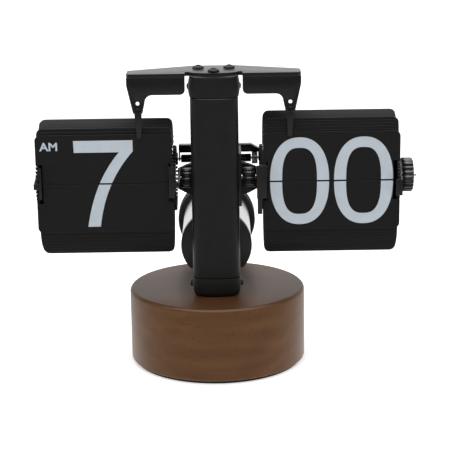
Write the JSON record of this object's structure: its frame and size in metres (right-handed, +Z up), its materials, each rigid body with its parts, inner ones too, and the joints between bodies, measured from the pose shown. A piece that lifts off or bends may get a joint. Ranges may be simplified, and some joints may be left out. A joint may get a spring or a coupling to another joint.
{
  "type": "flip number clock",
  "caption": "Split-flap number clock: hour and minute leaf drums either side of a column on a round wooden base, with a setting knob and a battery tube behind.",
  "frame": {"origin": "centre of the base's underside", "axes": "+Z up, the clock faces -Y, +X to the viewer's right along the drums"},
  "size_m": [0.2127, 0.119, 0.1711],
  "materials": {
    "walnut_base": "stained and satin lacquered",
    "pad_felt": "matt felt",
    "bright_steel": "turned bright",
    "black_column_paint": "satin black",
    "black_bracket_paint": "satin black",
    "black_screws": "blackened",
    "black_moulding": "semi-gloss moulded",
    "cream_moulding": "moulded",
    "brass_wheel": "cut brass",
    "stator_iron": "stamped sheet",
    "copper_coil": "enamelled wire",
    "leaf_plastic": "matt",
    "bright_tube": "satin bright",
    "cell_jacket": "printed sleeve without lettering"
  },
  "bodies": {
    "frame": {"base_block": "walnut_base", "base_bolt_left": "bright_steel", "base_bolt_right": "bright_steel", "base_pad": "pad_felt", "battery_contact": "bright_steel", "battery_front_cap": "black_moulding", "battery_tube": "bright_tube", "bracket": "black_bracket_paint", "bracket_screw_front": "black_screws", "bracket_screw_left": "black_screws", "bracket_screw_right": "black_screws", "catch_rivet_left": "black_screws", "catch_rivet_right": "black_screws", "column_cover": "black_column_paint", "column_foot_collar": "black_column_paint", "column_top_collar": "black_column_paint", "foot_screw_left": "black_screws", "foot_screw_right": "black_screws", "hour_inner_guard": "black_bracket_paint", "hour_leaf_pack": "leaf_plastic", "hour_lower_flap": "leaf_plastic", "hour_outer_guard": "black_bracket_paint", "lower_post": "black_column_paint", "minute_inner_guard": "black_bracket_paint", "minute_leaf_pack": "leaf_plastic", "minute_lower_flap": "leaf_plastic", "minute_outer_guard": "black_bracket_paint", "motor_coil": "copper_coil", "motor_stator": "stator_iron", "movement_case_left": "black_moulding", "movement_case_right": "black_moulding", "top_screw_left": "black_screws", "top_screw_right": "black_screws", "transfer_bridge": "black_moulding", "upper_post": "black_column_paint"},
    "minute_drum": {"minute_axle": "bright_steel", "minute_hub": "black_moulding", "minute_inner_disc": "black_moulding", "minute_outer_disc": "black_moulding", "minute_fluted_sleeve": "black_moulding", "minute_drive_wheel": "brass_wheel", "setting_knob": "black_moulding"},
    "hour_drum": {"hour_axle": "bright_steel", "hour_hub": "black_moulding", "hour_inner_disc": "black_moulding", "hour_outer_disc": "black_moulding", "hour_fluted_sleeve": "black_moulding"},
    "transfer": {"transfer_shaft": "bright_steel", "transfer_sleeve": "black_moulding", "hour_transfer_pinion": "cream_moulding", "minute_transfer_pinion": "cream_moulding"},
    "idler": {"idler_gear": "cream_moulding"},
    "rotor": {"motor_rotor": "cream_moulding"},
    "hour_flap": {"hour_upper_flap": "leaf_plastic"},
    "minute_flap": {"minute_upper_flap": "leaf_plastic"},
    "hour_catch": {"hour_catch_arm": "black_bracket_paint"},
    "minute_catch": {"minute_catch_arm": "black_bracket_paint"},
    "rear_cap": {"battery_rear_cap": "black_moulding"},
    "cell": {"battery_cell": "cell_jacket"}
  },
  "joints": [
    {"name": "minute_drum_spin", "type": "hinge", "parent": "frame", "child": "minute_drum", "pos_m": [0, -0.0064, 0.1075], "axis": [1, 0, 0], "continuous": true},
    {"name": "hour_drum_spin", "type": "hinge", "parent": "frame", "child": "hour_drum", "pos_m": [0, -0.0064, 0.1075], "axis": [1, 0, 0], "continuous": true},
    {"name": "transfer_spin", "type": "hinge", "parent": "frame", "child": "transfer", "pos_m": [0, 0.013, 0.1145], "axis": [1, 0, 0], "continuous": true},
    {"name": "idler_spin", "type": "hinge", "parent": "frame", "child": "idler", "pos_m": [0, -0.00042, 0.10249], "axis": [1, 0, 0], "continuous": true},
    {"name": "rotor_spin", "type": "hinge", "parent": "frame", "child": "rotor", "pos_m": [0, 0.00104, 0.10882], "axis": [1, 0, 0], "continuous": true},
    {"name": "hour_flap_fall", "type": "hinge", "parent": "frame", "child": "hour_flap", "pos_m": [0, -0.02295, 0.10815], "axis": [1, 0, 0], "range_deg": [0, 175]},
    {"name": "minute_flap_fall", "type": "hinge", "parent": "frame", "child": "minute_flap", "pos_m": [0, -0.02295, 0.10815], "axis": [1, 0, 0], "range_deg": [0, 175]},
    {"name": "hour_catch_flex", "type": "hinge", "parent": "frame", "child": "hour_catch", "pos_m": [0, -0.0249, 0.1506], "axis": [-1, 0, 0], "range_deg": [0, 5], "stiffness_Nm_per_rad": 0.02},
    {"name": "minute_catch_flex", "type": "hinge", "parent": "frame", "child": "minute_catch", "pos_m": [0, -0.0249, 0.1506], "axis": [-1, 0, 0], "range_deg": [0, 5], "stiffness_Nm_per_rad": 0.02},
    {"name": "rear_cap_pull", "type": "slide", "parent": "frame", "child": "rear_cap", "axis": [0, 1, 0], "range_m": [0, 0.1]},
    {"name": "cell_slide", "type": "slide", "parent": "frame", "child": "cell", "axis": [0, 1, 0], "range_m": [0, 0.07]}
  ],
  "couplings": [
    {"joint": "hour_drum_spin", "follows": "minute_drum_spin", "ratio": 0.020833},
    {"joint": "transfer_spin", "follows": "minute_drum_spin", "ratio": -0.125},
    {"joint": "idler_spin", "follows": "minute_drum_spin", "ratio": -4},
    {"joint": "rotor_spin", "follows": "minute_drum_spin", "ratio": 16},
    {"joint": "cell_slide", "follows": "rear_cap_pull", "ratio": 0.7}
  ]
}
